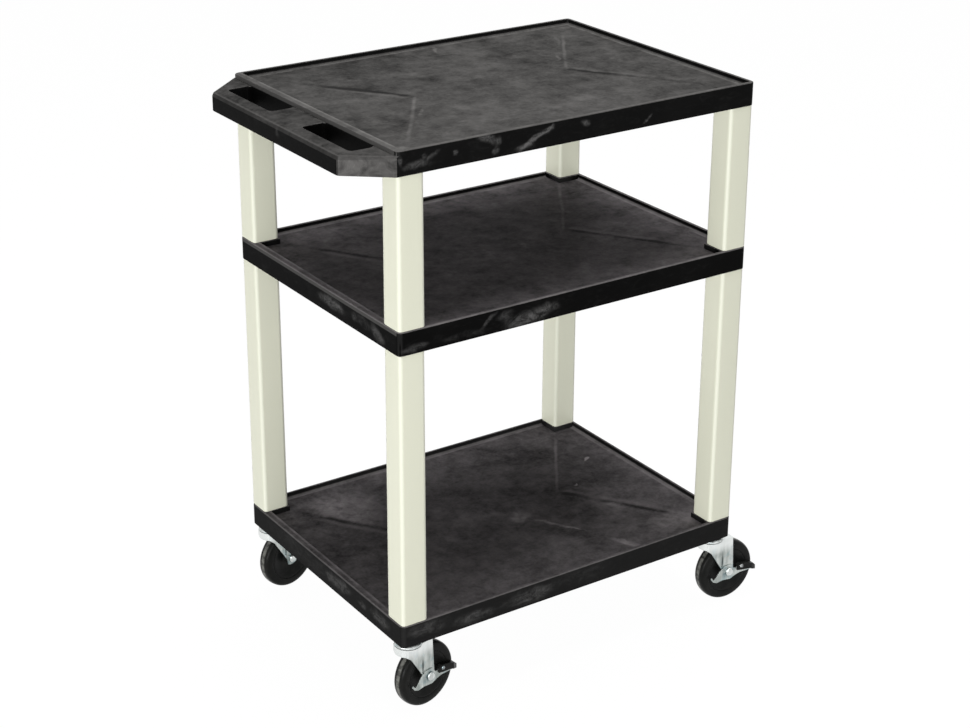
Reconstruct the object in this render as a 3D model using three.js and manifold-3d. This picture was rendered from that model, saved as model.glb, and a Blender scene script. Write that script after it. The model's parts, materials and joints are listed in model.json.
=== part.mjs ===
// A three-shelf audio visual cart on four swivel casters, two of them with foot brakes.
// Millimetres, +Z up. The floor is Z = 0 and the origin lies under the middle of the cart's box.
// X runs along the shelves, with the push handle moulded on at the -X end. Y runs across them.
import * as THREE from "three";
import { mergeVertices } from "three/addons/utils/BufferGeometryUtils.js";
import Module from "manifold-3d";

const wasm = await Module();
wasm.setup();

// Shelves: one deep-skirted plastic moulding each, with a raised rim round the deck.
const shelfLength = 609.6;
const shelfWidth = 457.2;
const shelfHeight = 35;
const shelfCornerRadius = 8;
const rimHeight = 8;
const rimWidth = 5;
const rimRound = 1.6;
const rimCove = 3;
const trayCornerRadius = 4;
const deckThickness = 5;
const skirtWall = 4.5;
const cavityCornerRadius = 3;

// Ribs under a deck: four run from the corners to two hubs, and one joins the hubs.
const ribThickness = 4;
const ribDepth = 18;
const ribHubSpacing = 266;
const ribHubRadius = 7;

// Legs: drafted square tubes with a reduced tenon at each end.
const upperLegLength = 219;
const lowerLegLength = 419;
const legSide = 42.4;
const legTopSide = 41.4;
const legWall = 3.5;
const legEdgeRadius = 6;
const legInset = 0.6;
const shoulderThickness = 4;
const tenonSide = 33;
const tenonWall = 3;
const tenonLength = 14;
const tenonEdgeRadius = 3;
const tenonGap = 0.3;
const socketFloor = 2;
const bossMargin = 1.2;

// Push handle, moulded on to the top shelf with a hand slot on each side of a bridge.
const handleReach = 61.3;
const handleHeight = 28.6;
const handleEndTaper = 49.5;
const handleCornerRadius = 9;
const handleRound = 3.2;
const handleWall = 4;
const gripWidth = 22.6;
const bridgeWidth = 86;
const slotLength = 132;
const slotCornerRadius = 8;

// Wheels: a tyre on a moulded hub, which turns on a steel sleeve.
const wheelDiameter = 101.6;
const tyreWidth = 22;
const tyreBoreRadius = 36.6;
const tyreShoulder = 5;
const tyreShoulderShare = 0.3;
const hubRimWall = 4.6;
const hubRimInset = 1.6;
const hubWebThickness = 8;
const hubBossRadius = 11;
const hubEndGap = 0.4;
const sleeveRadius = 5.4;
const sleeveBoltGap = 0.15;
const boltRadius = 4;
const boltHeadRadius = 7;
const boltHeadHeight = 3;
const boltHeadCrown = 1.4;
const boltStub = 1.6;
const nutRadius = 7.4;
const nutHeight = 5;

// Forks: pressed from steel plate, with the axle trailing behind the swivel stem.
const trail = 29.5;
const forkPlate = 2.2;
const forkGap = 1;
const crownRadius = 20.5;
const crownGap = 7.2;
const forkBossRadius = 9.9;
const forkBackReach = 6;
const forkFrontReach = 45.3;
const forkCheekDrop = 9.8;
const forkShoulderReach = 36;
const forkShoulderDrop = 17;
const grooveOffset = 13.5;
const grooveWidth = 4.4;
const grooveDepth = 1.1;
const grooveDrop = 17;
const grooveLength = 30;

// Swivel: balls run between the fork's crown and a pressed cup, and a riveted stem holds both.
const ballDiameter = 3.2;
const ballCircleRadius = 14;
const ballGap = 0.1;
const cupRadius = 20.5;
const cupPlate = 2;
const cupSkirtWall = 1.8;
const cupSkirtDrop = 2.6;
const stemNeckRadius = 5;
const stemRadius = 5.5;
const stemLength = 34;
const stemTip = 1.6;
const collarRadius = 9;
const collarHeight = 1.3;
const footRadius = 8;
const footHeight = 2.6;
const footCrown = 1;
const socketWall = 1.7;
const socketFlangeRadius = 12;
const socketFlange = 1.5;
const socketHeight = 33;
const casterSleeveWall = 3.6;
const casterSleeveHeight = 39;
const casterBasePlate = 5;

// Foot brake: a steel yoke astride the fork, which rocks on the axle bolt, and its moulded pad.
// The yoke is one strip, bent inwards behind the wheel to a short pedal.
const leverPlate = 1.5;
const leverHubRadius = 8.4;
const leverReach = 58;
const leverDrop = 14;
const yokeBend = 44;
const pedalHalfWidth = 6;
const padThickness = 2;
const padWheelGap = 1.5;
const rivetRadius = 2;
const rivetHeadRadius = 3.4;
const rivetHeadHeight = 1.4;
const rivetHeadCrown = 1;
const rivetOut = 23.5;
const rivetUp = 4.6;

// The yoke's side view, from the front toe along its lower edge and back along its upper edge. Each
// corner is given as shares of the lever's reach and drop, with its radius as a share of the drop.
const yokeSideShares = [
  [-0.62, -0.36, 0],
  [-0.54, -0.82, 0.3],
  [-0.41, -1.04, 0.3],
  [-0.21, -0.9, 0],
  [0.05, -1.01, 0.3],
  [0.22, -0.71, 0],
  [0.38, -0.53, 0],
  [0.74, -0.53, 0],
  [1.05, -1.14, 0],
  [1.05, -0.83, 0],
  [0.83, -0.04, 0],
  [0.62, 0.31, 0],
  [0.34, 0.52, 0],
  [0.24, 0.21, 0],
  [0.155, 0.29, 0],
  [0.086, 0.83, 0.25],
  [-0.155, 0.83, 0.25],
  [-0.33, 0.29, 0],
  [-0.44, -0.32, 0],
  [-0.52, -0.59, 0],
  [-0.59, -0.21, 0],
];

// The pad's side view, in the same shares.
const padSideShares = [
  [0.27, -0.11, 0],
  [0.52, -0.26, 0],
  [0.72, -0.36, 0],
  [1.07, -1.23, 0],
  [1.07, -0.75, 0],
  [0.86, 0.07, 0],
  [0.655, 0.49, 0],
  [0.345, 0.74, 0],
  [0.27, 0.5, 0],
];

// Clearances and cutting allowances.
const fitGap = 0.2;
const runningGap = 0.06;
const overrun = 5;

// How finely round shapes are stepped.
const cornerSteps = 3;
const plateCornerSteps = 2;
const fitCornerSteps = 1;
const roundSteps = 2;
const wheelSteps = 24;
const hubSteps = 16;
const turnedSteps = 16;
const smallSteps = 10;
const raceSides = 6;

// The corners of the cart. The push handle is at the rear. Each caster trails at its own heading.
const corners = [
  { name: "rear_right", x: -1, y: -1, heading: 10.5, braked: true },
  { name: "front_right", x: 1, y: -1, heading: -2.5, braked: true },
  { name: "rear_left", x: -1, y: 1, heading: 11.5, braked: false },
  { name: "front_left", x: 1, y: 1, heading: 6, braked: false },
];

// Finishes.
const blackPlastic = { color: 0x1f1f21, roughness: 0.55, metalness: 0 };
const ivoryPlastic = { color: 0xe3e4d2, roughness: 0.4, metalness: 0 };
const blackRubber = { color: 0x22231f, roughness: 0.6, metalness: 0 };
const zincSteel = { color: 0xc4c8cc, roughness: 0.32, metalness: 0.9 };

// Levels that follow from the sizes above, from the floor up.
const wheelRadius = wheelDiameter / 2;
const crownBottom = wheelDiameter + crownGap;
const crownTop = crownBottom + forkPlate;
const cupBottom = crownTop + ballDiameter + 2 * ballGap;
const cupTop = cupBottom + cupPlate;
const collarBottom = cupTop + fitGap;
const collarTop = collarBottom + collarHeight;
const socketFlangeBottom = collarTop + fitGap;
const socketFlangeTop = socketFlangeBottom + socketFlange;
const bottomShelfLevel = socketFlangeTop + fitGap;
const lowerLegLevel = bottomShelfLevel + shelfHeight + fitGap;
const middleShelfLevel = lowerLegLevel + lowerLegLength + fitGap;
const upperLegLevel = middleShelfLevel + shelfHeight + fitGap;
const topShelfLevel = upperLegLevel + upperLegLength + fitGap;

// Places that several pieces share.
const deckLevel = shelfHeight - rimHeight;
const cavityTop = deckLevel - deckThickness;
const legCentreX = shelfLength / 2 - legInset - legSide / 2;
const legCentreY = shelfWidth / 2 - legInset - legSide / 2;
const bossSide = legInset + legSide + bossMargin;
const socketSide = tenonSide + 2 * tenonGap;
const socketDepth = tenonLength + socketFloor;
const legInnerFace = tyreWidth / 2 + forkGap;
const legOuterFace = legInnerFace + forkPlate;
const leverInnerFace = legOuterFace + fitGap;
const leverOuterFace = leverInnerFace + leverPlate;
const padInset = leverPlate + fitGap;
const padOutset = padInset + padThickness;
const cheekOuterFace = leverInnerFace + padOutset;
const stemSocketBore = stemRadius + fitGap;
const stemSocketRadius = stemSocketBore + socketWall;
const casterSleeveBore = stemSocketRadius + fitGap;

// A closed geometry as a solid that can be joined and cut.
function solidOf(geometry) {
  geometry.deleteAttribute("normal");
  geometry.deleteAttribute("uv");
  const merged = mergeVertices(geometry);
  const mesh = new wasm.Mesh({
    numProp: 3,
    vertProperties: merged.attributes.position.array,
    triVerts: new Uint32Array(merged.index.array),
  });
  return new wasm.Manifold(mesh);
}

// A solid as a named mesh with its own material.
function meshOf(name, solid, finish) {
  const faces = solid.getMesh();
  const geometry = new THREE.BufferGeometry();
  geometry.setAttribute("position", new THREE.BufferAttribute(faces.vertProperties, 3));
  geometry.setIndex(new THREE.BufferAttribute(faces.triVerts, 1));
  geometry.computeVertexNormals();
  const mesh = new THREE.Mesh(geometry, new THREE.MeshStandardMaterial(finish));
  mesh.name = name;
  return mesh;
}

function joined(solids) {
  return solids.reduce((whole, solid) => whole.add(solid));
}

function cut(solid, tools) {
  return tools.reduce((rest, tool) => rest.subtract(tool), solid);
}

// A closed outline through corners given as [x, y, radius], each corner rounded by its radius.
function roundedOutline(places) {
  const outline = new THREE.Shape();
  places.forEach(([x, y, radius], i) => {
    const corner = new THREE.Vector2(x, y);
    const last = new THREE.Vector2(...places.at(i - 1));
    const next = new THREE.Vector2(...places[(i + 1) % places.length]);
    const back = last.sub(corner);
    const ahead = next.sub(corner);
    const halfAngle = Math.abs(Math.acos(back.dot(ahead) / back.length() / ahead.length())) / 2;
    const cutBack = Math.min(radius / Math.tan(halfAngle), back.length() / 2, ahead.length() / 2);
    const start = corner.clone().add(back.setLength(cutBack));
    const end = corner.clone().add(ahead.setLength(cutBack));
    if (i === 0) outline.moveTo(start.x, start.y);
    else outline.lineTo(start.x, start.y);
    if (radius > 0) outline.quadraticCurveTo(x, y, end.x, end.y);
  });
  outline.closePath();
  return outline;
}

function roundedRectangle(length, width, radius) {
  return roundedOutline([
    [-length / 2, -width / 2, radius],
    [length / 2, -width / 2, radius],
    [length / 2, width / 2, radius],
    [-length / 2, width / 2, radius],
  ]);
}

// An outline in the XY plane, extruded up from a level.
function prismGeometry(outline, height, level = 0, steps = cornerSteps) {
  const settings = { depth: height, bevelEnabled: false, curveSegments: steps };
  return new THREE.ExtrudeGeometry(outline, settings).translate(0, 0, level);
}

function prism(outline, height, level = 0, steps = cornerSteps) {
  return solidOf(prismGeometry(outline, height, level, steps));
}

// A prism standing on Z = 0 whose top edge is rounded.
function roundedTopPrism(outline, height, round) {
  const settings = {
    depth: height - round,
    bevelThickness: round,
    bevelSize: round,
    bevelOffset: -round,
    bevelSegments: roundSteps,
    curveSegments: cornerSteps,
  };
  const full = solidOf(new THREE.ExtrudeGeometry(outline, settings));
  return full.intersect(prism(roundedRectangle(2 * shelfLength, 2 * shelfWidth, 0), height));
}

// An outline drawn in the XZ plane, as a plate between two places along Y.
function uprightPlate(outline, yFrom, yTo) {
  const geometry = prismGeometry(outline, yTo - yFrom, 0, plateCornerSteps);
  geometry.rotateX(Math.PI / 2);
  return solidOf(geometry.translate(0, yTo, 0));
}

function block(xFrom, xTo, yFrom, yTo, zFrom, zTo) {
  const geometry = new THREE.BoxGeometry(xTo - xFrom, yTo - yFrom, zTo - zFrom);
  return solidOf(geometry.translate((xFrom + xTo) / 2, (yFrom + yTo) / 2, (zFrom + zTo) / 2));
}

// A profile of [radius, height] places turned about Z. Off the axis, the profile closes on itself.
function turned(profile, steps) {
  return solidOf(turnedGeometry(profile, steps).rotateX(Math.PI / 2));
}

// The same, turned about an axle that lies along Y.
function turnedOnAxle(profile, steps, start = 0) {
  return solidOf(turnedGeometry(profile, steps, start));
}

function turnedGeometry(profile, steps, start = 0) {
  const places = profile.map(([radius, height]) => new THREE.Vector2(radius, height));
  if (places[0].x > 0) places.push(places[0].clone());
  return new THREE.LatheGeometry(places, steps, start);
}

// The radius of a stepped circle whose flats clear a shaft of the given radius.
function flatsClear(radius, steps) {
  return radius / Math.cos(Math.PI / steps);
}

function rod(radius, from, to, steps) {
  return turned([[0, from], [radius, from], [radius, to], [0, to]], steps);
}

function axleRod(radius, from, to, steps) {
  return turnedOnAxle([[0, from], [radius, from], [radius, to], [0, to]], steps);
}

// One leg: a drafted tube between two shoulders, with a hollow tenon beyond each.
function legSolid(length) {
  const drafted = (geometry) => {
    const place = geometry.attributes.position;
    for (let i = 0; i < place.count; i += 1) {
      const scale = 1 + (legTopSide / legSide - 1) * (place.getZ(i) / length);
      place.setXY(i, place.getX(i) * scale, place.getY(i) * scale);
    }
    return solidOf(geometry);
  };
  const boreSide = legSide - 2 * legWall;
  const tenonBore = tenonSide - 2 * tenonWall;
  const tenonOutline = roundedRectangle(tenonSide, tenonSide, tenonEdgeRadius);
  const tenonHeight = tenonLength + shoulderThickness;
  const tube = drafted(prismGeometry(roundedRectangle(legSide, legSide, legEdgeRadius), length));
  const boreOutline = roundedRectangle(boreSide, boreSide, 0);
  const boreLength = length - 2 * shoulderThickness;
  const bore = drafted(prismGeometry(boreOutline, boreLength, shoulderThickness));
  const body = tube.subtract(bore);
  const lowTenon = prism(tenonOutline, tenonHeight, -tenonLength, fitCornerSteps);
  const highLevel = length - shoulderThickness;
  const highTenon = prism(tenonOutline, tenonHeight, highLevel, fitCornerSteps);
  const passageOutline = roundedRectangle(tenonBore, tenonBore, 0);
  const passageLength = length + 2 * tenonLength + 2 * overrun;
  const passage = prism(passageOutline, passageLength, -tenonLength - overrun);
  return joined([body, lowTenon, highTenon]).subtract(passage);
}

// The four leg places of a shelf, as solids made by a function of the place.
function atLegs(make) {
  return corners.map((corner) => make(corner).translate([
    corner.x * legCentreX,
    corner.y * legCentreY,
    0,
  ]));
}

function shelfOutline() {
  return roundedRectangle(shelfLength, shelfWidth, shelfCornerRadius);
}

// The moulded pan: a skirt and a rim round a deck, open below.
function shelfPan() {
  const trayOutline = roundedRectangle(
    shelfLength - 2 * rimWidth,
    shelfWidth - 2 * rimWidth,
    trayCornerRadius,
  );
  const cavityOutline = roundedRectangle(
    shelfLength - 2 * skirtWall,
    shelfWidth - 2 * skirtWall,
    cavityCornerRadius,
  );
  return cut(roundedTopPrism(shelfOutline(), shelfHeight, rimRound), [
    trayCut(trayOutline),
    prism(cavityOutline, cavityTop + overrun, -overrun),
  ]);
}

// The tray above the deck, with a cove where the rim meets the deck.
function trayCut(outline) {
  const height = rimHeight + overrun;
  const upsideDown = roundedTopPrism(outline, height, rimCove).rotate([180, 0, 0]);
  return upsideDown.translate([0, 0, deckLevel + height]);
}

// The square blocks at the corners that hold the leg sockets, trimmed to the shelf's outline.
function cornerBlocks(top) {
  const blocks = corners.map(({ x, y }) => {
    const xs = [x * (shelfLength / 2 - bossSide), (x * shelfLength) / 2];
    const ys = [y * (shelfWidth / 2 - bossSide), (y * shelfWidth) / 2];
    return block(Math.min(...xs), Math.max(...xs), Math.min(...ys), Math.max(...ys), 0, top);
  });
  return joined(blocks).intersect(roundedTopPrism(shelfOutline(), shelfHeight, rimRound));
}

// One straight rib under the deck between two places.
function rib([x1, y1], [x2, y2]) {
  const run = new THREE.Vector2(x2 - x1, y2 - y1);
  const height = ribDepth + deckThickness / 2;
  const geometry = new THREE.BoxGeometry(run.length(), ribThickness, height);
  geometry.rotateZ(run.angle());
  geometry.translate((x1 + x2) / 2, (y1 + y2) / 2, cavityTop - ribDepth + height / 2);
  return solidOf(geometry);
}

function deckRibs() {
  const hubX = ribHubSpacing / 2;
  const ribs = corners.map(({ x, y }) => rib([x * legCentreX, y * legCentreY], [x * hubX, 0]));
  const hubs = [-hubX, hubX].map((x) => {
    const top = cavityTop + deckThickness / 2;
    return rod(ribHubRadius, cavityTop - ribDepth, top, smallSteps).translate([x, 0, 0]);
  });
  return joined([...ribs, ...hubs, rib([-hubX, 0], [hubX, 0])]);
}

// A leg socket, cut from one level up to another.
function socketCut(from, to) {
  const outline = roundedRectangle(socketSide, socketSide, tenonEdgeRadius);
  return prism(outline, to - from, from, fitCornerSteps);
}

// The handle's outline beyond the shelf's end, drawn inwards by a wall, with its root set back.
function handleOutline(inset, setBack) {
  const slopeRun = Math.hypot(handleReach, handleEndTaper) / handleReach;
  const root = shelfWidth / 2 - inset * slopeRun;
  const tipX = handleReach - inset;
  const tipY = root - (handleEndTaper * tipX) / handleReach;
  const radius = handleCornerRadius - inset;
  const end = -shelfLength / 2;
  return roundedOutline([
    [end + setBack, root, 0],
    [end, root, 0],
    [end - tipX, tipY, radius],
    [end - tipX, -tipY, radius],
    [end, -root, 0],
    [end + setBack, -root, 0],
  ]);
}

// A hand slot's outline on one side of the bridge, drawn outwards by a wall.
function slotOutline(side, outset) {
  const end = -shelfLength / 2;
  const nearY = bridgeWidth / 2 - outset;
  const farY = bridgeWidth / 2 + slotLength + outset;
  const outX = handleReach - gripWidth + outset;
  const places = [
    [end + outset, side * nearY, slotCornerRadius],
    [end - outX, side * nearY, slotCornerRadius],
    [end - outX, side * farY, slotCornerRadius],
    [end + outset, side * farY, slotCornerRadius],
  ];
  return roundedOutline(side > 0 ? places.reverse() : places);
}

// The handle: a hollow moulding open below, with a collar round each slot.
function handleSolid() {
  const handleHollow = handleHeight - handleWall;
  const shell = roundedTopPrism(handleOutline(0, shelfCornerRadius), handleHeight, handleRound);
  const hollow = prism(handleOutline(handleWall, skirtWall / 2), handleHollow + overrun, -overrun);
  const collars = [-1, 1].map((side) => prism(slotOutline(side, handleWall), handleHollow));
  return joined([shell.subtract(hollow), ...collars]);
}

function topShelfSolid() {
  const slots = [-1, 1].map((side) => prism(slotOutline(side, 0), shelfHeight + 2 * overrun, -overrun));
  const handle = cut(handleSolid(), slots);
  const cavityOutline = roundedRectangle(
    shelfLength - 2 * skirtWall,
    shelfWidth - 2 * skirtWall,
    cavityCornerRadius,
  );
  const trimmed = handle.subtract(prism(cavityOutline, shelfHeight + 2 * overrun, -overrun));
  const body = joined([shelfPan(), cornerBlocks(deckLevel), deckRibs(), trimmed]);
  return cut(body, atLegs(() => socketCut(-overrun, socketDepth)));
}

function middleShelfSolid() {
  const body = joined([shelfPan(), cornerBlocks(shelfHeight), deckRibs()]);
  return cut(body, [
    ...atLegs(() => socketCut(-overrun, socketDepth)),
    ...atLegs(() => socketCut(shelfHeight - socketDepth, shelfHeight + overrun)),
  ]);
}

// The bottom shelf stands on the casters: a sleeve rises round each stem, inside the leg's socket.
function bottomShelfSolid() {
  const body = joined([shelfPan(), cornerBlocks(shelfHeight), deckRibs()]);
  const socketed = cut(body, atLegs(() => socketCut(casterBasePlate, shelfHeight + overrun)));
  const sleeveRadiusOut = casterSleeveBore + casterSleeveWall;
  const sleeves = atLegs(() => rod(sleeveRadiusOut, 0, casterSleeveHeight, turnedSteps));
  const boreRadius = flatsClear(casterSleeveBore, turnedSteps);
  const boreTop = casterSleeveHeight + overrun;
  const bores = atLegs(() => rod(boreRadius, -overrun, boreTop, turnedSteps));
  return cut(joined([socketed, ...sleeves]), bores);
}

// The pressed sleeve that lines the shelf's bore, with a flange under the shelf.
function stemSocketSolid() {
  const bore = flatsClear(stemSocketBore, smallSteps);
  const top = bottomShelfLevel + socketHeight;
  return turned([
    [bore, socketFlangeBottom],
    [socketFlangeRadius, socketFlangeBottom],
    [socketFlangeRadius, socketFlangeTop],
    [stemSocketRadius, socketFlangeTop],
    [stemSocketRadius, top],
    [bore, top],
  ], smallSteps);
}

// The stem: a riveted foot under the crown, a neck, a collar over the cup and a shaft.
function stemSolid() {
  const footTop = crownBottom - fitGap;
  const top = collarTop + stemLength;
  return turned([
    [0, footTop - footHeight],
    [footRadius - footCrown, footTop - footHeight],
    [footRadius, footTop],
    [stemNeckRadius, footTop],
    [stemNeckRadius, collarBottom],
    [collarRadius, collarBottom],
    [collarRadius, collarTop],
    [stemRadius, collarTop],
    [stemRadius, top - stemTip],
    [stemRadius - stemTip, top],
    [0, top],
  ], smallSteps);
}

// The pressed cup over the balls, with a skirt that hangs over the crown's edge.
function cupSolid() {
  const bore = flatsClear(stemNeckRadius + fitGap, turnedSteps);
  const skirtBottom = cupBottom - cupSkirtDrop;
  const skirtInside = cupRadius - cupSkirtWall;
  return turned([
    [bore, cupBottom],
    [skirtInside - cupPlate, cupBottom],
    [skirtInside, cupBottom - cupPlate],
    [skirtInside, skirtBottom],
    [cupRadius, skirtBottom],
    [cupRadius, cupBottom],
    [cupRadius - cupPlate, cupTop],
    [bore, cupTop],
  ], turnedSteps);
}

// The ring of balls in its cage, as one ring with a six-sided section.
function ballRaceSolid() {
  const middle = crownTop + ballGap + ballDiameter / 2;
  const section = Array.from({ length: raceSides }, (_, i) => {
    const angle = (2 * Math.PI * i) / raceSides;
    const reach = ballDiameter / 2 / Math.cos(Math.PI / raceSides);
    return [ballCircleRadius + reach * Math.cos(angle), middle + reach * Math.sin(angle)];
  });
  return turned(section, smallSteps);
}

// The fork's side plate: a wide top under the crown that sweeps down to the axle's boss.
function forkCheekOutline() {
  const front = trail - forkFrontReach;
  return roundedOutline([
    [front, crownTop, 0],
    [front, crownBottom - forkCheekDrop, forkPlate],
    [trail - forkShoulderReach, crownBottom - forkShoulderDrop, forkBossRadius],
    [trail - forkBossRadius, wheelRadius, forkBossRadius],
    [trail - forkBossRadius, wheelRadius - forkBossRadius, forkBossRadius],
    [trail + forkBossRadius, wheelRadius - forkBossRadius, forkBossRadius],
    [trail + forkBackReach, crownTop, 0],
  ]);
}

// The pressed groove down a side plate's outer face.
function grooveSolid(side) {
  const x = trail - grooveOffset;
  const outer = side * (legOuterFace + overrun);
  const inner = side * (legOuterFace - grooveDepth);
  const flare = (grooveWidth / 2) * ((overrun + grooveDepth) / grooveDepth);
  const places = [
    [x - flare, outer, 0],
    [x, inner, 0],
    [x + flare, outer, 0],
  ];
  const outline = roundedOutline(side > 0 ? places.reverse() : places);
  return prism(outline, grooveLength, crownBottom - grooveDrop - grooveLength);
}

// The fork: a round crown whose front edge turns down between two side plates.
function forkSolid() {
  const crownBack = trail + forkBackReach;
  const crownFlat = Math.sqrt(crownRadius ** 2 - legOuterFace ** 2) - forkPlate;
  const crownDisc = rod(crownRadius, crownBottom - forkCheekDrop, crownTop, turnedSteps);
  const crownInside = crownRadius - forkPlate;
  const hollow = rod(crownInside, -overrun, crownBottom, turnedSteps);
  const behind = block(-crownFlat, trail, -crownRadius, crownRadius, 0, crownBottom);
  const crownPlate = block(0, crownBack, -legOuterFace, legOuterFace, crownBottom, crownTop);
  const rightCheek = uprightPlate(forkCheekOutline(), -legOuterFace, -legInnerFace);
  const leftCheek = uprightPlate(forkCheekOutline(), legInnerFace, legOuterFace);
  const stemHole = flatsClear(stemNeckRadius + runningGap, turnedSteps);
  const boltHole = flatsClear(boltRadius + fitGap, smallSteps);
  const axleHole = axleRod(boltHole, -legOuterFace - overrun, legOuterFace + overrun, smallSteps);
  const crown = cut(crownDisc, [hollow, behind]);
  return cut(joined([crown, crownPlate, rightCheek, leftCheek]), [
    rod(stemHole, crownBottom - overrun, crownTop + overrun, turnedSteps),
    axleHole.translate([trail, 0, wheelRadius]),
    grooveSolid(-1),
    grooveSolid(1),
  ]);
}

// The tyre: a flat tread with rounded shoulders. One of its flats faces the floor.
function tyreSolid() {
  const halfWidth = tyreWidth / 2;
  const radius = flatsClear(wheelRadius, wheelSteps);
  const nick = tyreShoulderShare * tyreShoulder;
  const shoulder = [
    [radius, halfWidth - tyreShoulder],
    [radius - nick, halfWidth - nick],
    [radius - tyreShoulder, halfWidth],
    [0, halfWidth],
  ];
  const otherShoulder = shoulder.map(([across, out]) => [across, -out]).reverse();
  const profile = [...otherShoulder, ...shoulder];
  const tread = turnedOnAxle(profile, wheelSteps, Math.PI / wheelSteps);
  return tread.subtract(axleRod(tyreBoreRadius, -tyreWidth, tyreWidth, hubSteps));
}

// The hub: a rim inside the tyre, a web and a boss, turning on the sleeve.
function hubSolid() {
  const bore = flatsClear(sleeveRadius + runningGap, hubSteps);
  const rimOut = tyreBoreRadius - fitGap;
  const rimIn = rimOut - hubRimWall;
  const rimHalf = tyreWidth / 2 - hubRimInset;
  const webHalf = hubWebThickness / 2;
  const bossHalf = legInnerFace - hubEndGap;
  const halfProfile = [
    [rimOut, rimHalf],
    [rimIn, rimHalf],
    [hubBossRadius, webHalf],
    [hubBossRadius, bossHalf],
    [bore, bossHalf],
  ];
  const otherHalf = halfProfile.map(([radius, across]) => [radius, -across]).reverse();
  return turnedOnAxle([...otherHalf, ...halfProfile], hubSteps);
}

function sleeveSolid() {
  const bore = flatsClear(boltRadius + sleeveBoltGap, smallSteps);
  const half = legInnerFace - fitGap;
  return turnedOnAxle([
    [bore, -half],
    [sleeveRadius, -half],
    [sleeveRadius, half],
    [bore, half],
  ], smallSteps);
}

// The axle bolt: a domed head on the outer side of what it clamps, and a stub beyond the nut.
function boltSolid(clampFace) {
  const headBase = -clampFace - fitGap;
  const headTop = headBase - boltHeadHeight;
  return turnedOnAxle([
    [0, headTop],
    [boltHeadRadius - boltHeadCrown, headTop],
    [boltHeadRadius, headTop + boltHeadCrown],
    [boltHeadRadius, headBase],
    [boltRadius, headBase],
    [boltRadius, clampFace + fitGap + nutHeight + boltStub],
    [0, clampFace + fitGap + nutHeight + boltStub],
  ], smallSteps);
}

function nutSolid(clampFace) {
  const from = clampFace + fitGap;
  const body = axleRod(nutRadius, from, from + nutHeight, 6);
  const thread = flatsClear(boltRadius + fitGap, smallSteps);
  return body.subtract(axleRod(thread, from - overrun, from + nutHeight + overrun, smallSteps));
}

// The yoke's plan view out to a distance from its inner face: two arms along the fork, bent inwards
// behind the wheel to meet the pedal.
function yokePlan(out) {
  const turn = Math.atan2(leverInnerFace - pedalHalfWidth, leverReach - leverPlate - yokeBend);
  const bendX = yokeBend + out * Math.tan(turn / 2);
  const pedalX = leverReach - leverPlate + out;
  const pedalY = pedalHalfWidth + out * Math.tan(Math.PI / 4 - turn / 2);
  const arm = leverInnerFace + out;
  const outline = roundedOutline([
    [-leverReach, -arm, 0],
    [bendX, -arm, 0],
    [pedalX, -pedalY, 0],
    [pedalX, pedalY, 0],
    [bendX, arm, 0],
    [-leverReach, arm, 0],
  ]);
  return prism(outline, 2 * leverReach, -leverReach);
}

// A side view from a table of shares, across the whole width of the brake.
function brakeSide(shares) {
  const places = shares.map(([x, z, radius]) => [
    x * leverReach,
    z * leverDrop,
    radius * leverDrop,
  ]);
  return uprightPlate(roundedOutline(places), -cheekOuterFace - overrun, cheekOuterFace + overrun);
}

// The brake lever: the yoke's strip cut to its side view. Its pivot is the axle.
function leverSolid() {
  const strip = yokePlan(leverPlate).subtract(yokePlan(0));
  const front = -2 * leverReach;
  const opening = block(front, 0, -leverInnerFace, leverInnerFace, -leverReach, leverReach);
  const yoke = strip.subtract(opening).intersect(brakeSide(yokeSideShares));
  const hubs = [leverInnerFace, -leverOuterFace].map((from) =>
    axleRod(leverHubRadius, from, from + leverPlate, turnedSteps));
  const pivotHole = flatsClear(boltRadius + runningGap, smallSteps);
  return cut(joined([yoke, ...hubs]), [
    axleRod(pivotHole, -leverOuterFace - overrun, leverOuterFace + overrun, smallSteps),
    rivetHole(),
  ]);
}

function rivetHole() {
  const radius = flatsClear(rivetRadius + fitGap, smallSteps);
  const hole = axleRod(radius, -cheekOuterFace - overrun, -leverInnerFace + overrun, smallSteps);
  return hole.translate([rivetOut, 0, rivetUp]);
}

// The moulded pad: a cap over the yoke's rear half, clear of the wheel in front of it.
function padSolid() {
  const side = brakeSide(padSideShares);
  const yokeRoom = yokePlan(padInset).intersect(side.translate([0, 0, -padThickness]));
  const wheelRoom = flatsClear(wheelRadius + padWheelGap, wheelSteps);
  return cut(yokePlan(padOutset).intersect(side), [
    yokeRoom,
    axleRod(wheelRoom, -legInnerFace, legInnerFace, wheelSteps),
    rivetHole(),
  ]);
}

function rivetSolid() {
  const headBase = -cheekOuterFace - fitGap;
  const footTop = -leverInnerFace + fitGap;
  return turnedOnAxle([
    [0, headBase - rivetHeadHeight],
    [rivetHeadRadius - rivetHeadCrown, headBase - rivetHeadHeight],
    [rivetHeadRadius, headBase],
    [rivetRadius, headBase],
    [rivetRadius, footTop],
    [rivetHeadRadius - rivetHeadCrown, footTop],
    [rivetHeadRadius - rivetHeadCrown, footTop + rivetHeadCrown],
    [0, footTop + rivetHeadCrown],
  ], smallSteps).translate([rivetOut, 0, rivetUp]);
}

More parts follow.
